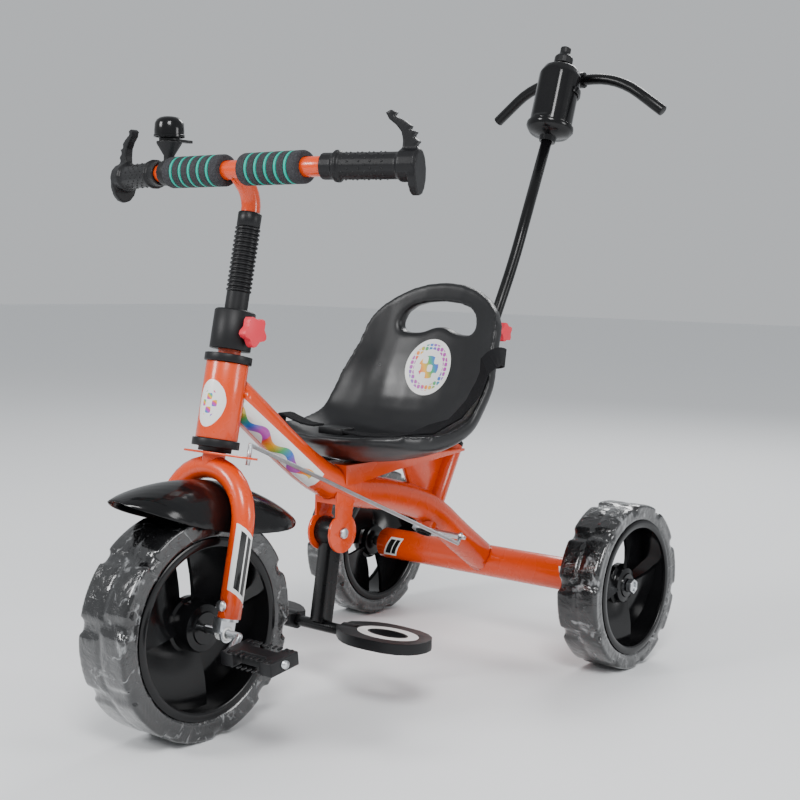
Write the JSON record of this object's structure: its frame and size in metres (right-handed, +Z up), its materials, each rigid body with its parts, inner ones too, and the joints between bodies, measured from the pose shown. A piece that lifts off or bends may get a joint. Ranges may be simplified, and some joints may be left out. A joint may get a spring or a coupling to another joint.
{
  "type": "children's tricycle with parent push handle",
  "caption": "Child's pedal tricycle with a bucket seat and lap belt, fold-back footrest, and a parent push handle that steers the front wheel through a side rod.",
  "frame": {"origin": "on the ground under the middle of the bounding box", "axes": "+Z up, the front of the tricycle faces -Y, the rider's left is +X"},
  "size_m": [0.495, 0.9184, 0.8611],
  "materials": {
    "orange_paint": "glossy powder coat",
    "black_paint": "satin black powder coat",
    "black_plastic": "satin moulded plastic",
    "gloss_plastic": "polished moulded plastic",
    "tyre_plastic": "moulded tread",
    "foam": "closed-cell foam",
    "red_plastic": "moulded knob plastic",
    "nylon": "white nylon",
    "zinc": "zinc plated",
    "webbing": "woven webbing"
  },
  "bodies": {
    "frame": {"head_tube": "orange_paint", "headset_cup_upper": "black_plastic", "headset_cup_lower": "black_plastic", "main_tube": "orange_paint", "axle_tube": "orange_paint", "rear_axle": "zinc", "hub_nut_left": "zinc", "hub_nut_right": "zinc", "push_sleeve": "orange_paint", "seat_bracket": "orange_paint", "footrest_clevis": "orange_paint", "footrest_bolt": "zinc", "seat": "black_plastic", "belt_left": "webbing", "belt_right": "webbing", "belt_buckle": "black_plastic"},
    "fork": {"fork_tube": "orange_paint", "steerer_tube": "orange_paint", "clamp_collar": "black_plastic", "steering_arm": "orange_paint", "mudguard": "gloss_plastic", "dropout_left": "zinc", "dropout_right": "zinc", "dropout_bolt_left": "zinc", "dropout_bolt_right": "zinc", "bush_left": "nylon", "bush_right": "nylon"},
    "handlebar": {"stem_tube": "orange_paint", "stem_cover": "black_plastic", "handlebar_tube": "orange_paint", "foam_left": "foam", "foam_right": "foam", "grip_left": "black_plastic", "grip_right": "black_plastic", "bell_stand": "black_plastic", "bell_dome": "gloss_plastic"},
    "bell_lever": {"bell_lever": "black_plastic"},
    "stem_knob": {"stem_knob": "red_plastic"},
    "front_wheel": {"front_tyre": "tyre_plastic", "front_rim": "gloss_plastic", "crank_axle": "zinc"},
    "pedal_left": {"pedal_left": "black_plastic"},
    "pedal_right": {"pedal_right": "black_plastic"},
    "rear_wheel_left": {"rear_tyre_left": "tyre_plastic", "rear_rim_left": "gloss_plastic"},
    "rear_wheel_right": {"rear_tyre_right": "tyre_plastic", "rear_rim_right": "gloss_plastic"},
    "footrest": {"footrest_stem": "black_paint", "footrest_bar": "black_paint", "footpad_left": "black_plastic", "footpad_right": "black_plastic"},
    "push_column": {"push_shaft": "black_paint", "crank_plate": "zinc"},
    "push_knob": {"push_knob": "red_plastic"},
    "push_handle": {"push_tube": "black_paint", "push_crossbar": "black_paint", "bottle_holder": "gloss_plastic"},
    "bottle": {"bottle": "gloss_plastic", "bottle_cap": "black_plastic"},
    "steering_rod": {"steering_rod": "zinc"}
  },
  "joints": [
    {"name": "steer", "type": "hinge", "parent": "frame", "child": "fork", "pos_m": [0, -0.33425, 0.125], "axis": [0, 0.1908, 0.9816], "range_deg": [-30, 30]},
    {"name": "stem_height", "type": "slide", "parent": "fork", "child": "handlebar", "axis": [0, 0.1908, 0.9816], "range_m": [0, 0.04]},
    {"name": "stem_knob_turn", "type": "hinge", "parent": "fork", "child": "stem_knob", "pos_m": [0, -0.27119, 0.44943], "axis": [1, 0, 0], "range_deg": [-180, 180]},
    {"name": "bell_ring", "type": "hinge", "parent": "handlebar", "child": "bell_lever", "pos_m": [-0.112, -0.26725, 0.665], "axis": [0, 0, 1], "range_deg": [0, 25], "stiffness_Nm_per_rad": 0.02},
    {"name": "front_wheel_spin", "type": "hinge", "parent": "fork", "child": "front_wheel", "pos_m": [0, -0.33425, 0.125], "axis": [1, 0, 0], "continuous": true},
    {"name": "pedal_left_spin", "type": "hinge", "parent": "front_wheel", "child": "pedal_left", "pos_m": [0.1215, -0.34627, 0.11298], "axis": [1, 0, 0], "continuous": true},
    {"name": "pedal_right_spin", "type": "hinge", "parent": "front_wheel", "child": "pedal_right", "pos_m": [-0.1215, -0.32223, 0.13702], "axis": [1, 0, 0], "continuous": true},
    {"name": "rear_left_spin", "type": "hinge", "parent": "frame", "child": "rear_wheel_left", "pos_m": [0.2185, 0.23875, 0.11], "axis": [1, 0, 0], "continuous": true},
    {"name": "rear_right_spin", "type": "hinge", "parent": "frame", "child": "rear_wheel_right", "pos_m": [-0.2185, 0.23875, 0.11], "axis": [1, 0, 0], "continuous": true},
    {"name": "footrest_fold", "type": "hinge", "parent": "frame", "child": "footrest", "pos_m": [0, -0.09625, 0.197], "axis": [1, 0, 0], "range_deg": [0, 65]},
    {"name": "push_steer", "type": "hinge", "parent": "frame", "child": "push_column", "pos_m": [0, 0.10668, 0.19851], "axis": [0, 0.4756, 0.8796], "range_deg": [-30, 30]},
    {"name": "push_height", "type": "slide", "parent": "push_column", "child": "push_handle", "axis": [0, 0.4756, 0.8796], "range_m": [-0.05, 0.06]},
    {"name": "push_knob_turn", "type": "hinge", "parent": "push_column", "child": "push_knob", "pos_m": [0, 0.23652, 0.43865], "axis": [1, 0, 0], "range_deg": [-180, 180]},
    {"name": "bottle_lift", "type": "slide", "parent": "push_handle", "child": "bottle", "axis": [0, 0.3007, 0.9537], "range_m": [0, 0.12]},
    {"name": "rod_pivot", "type": "hinge", "parent": "push_column", "child": "steering_rod", "pos_m": [0.06026, 0.09265, 0.17256], "axis": [0, 0.4756, 0.8796], "range_deg": [-30, 30]}
  ],
  "couplings": [
    {"joint": "push_steer", "follows": "steer", "ratio": 1},
    {"joint": "rod_pivot", "follows": "steer", "ratio": -1}
  ]
}
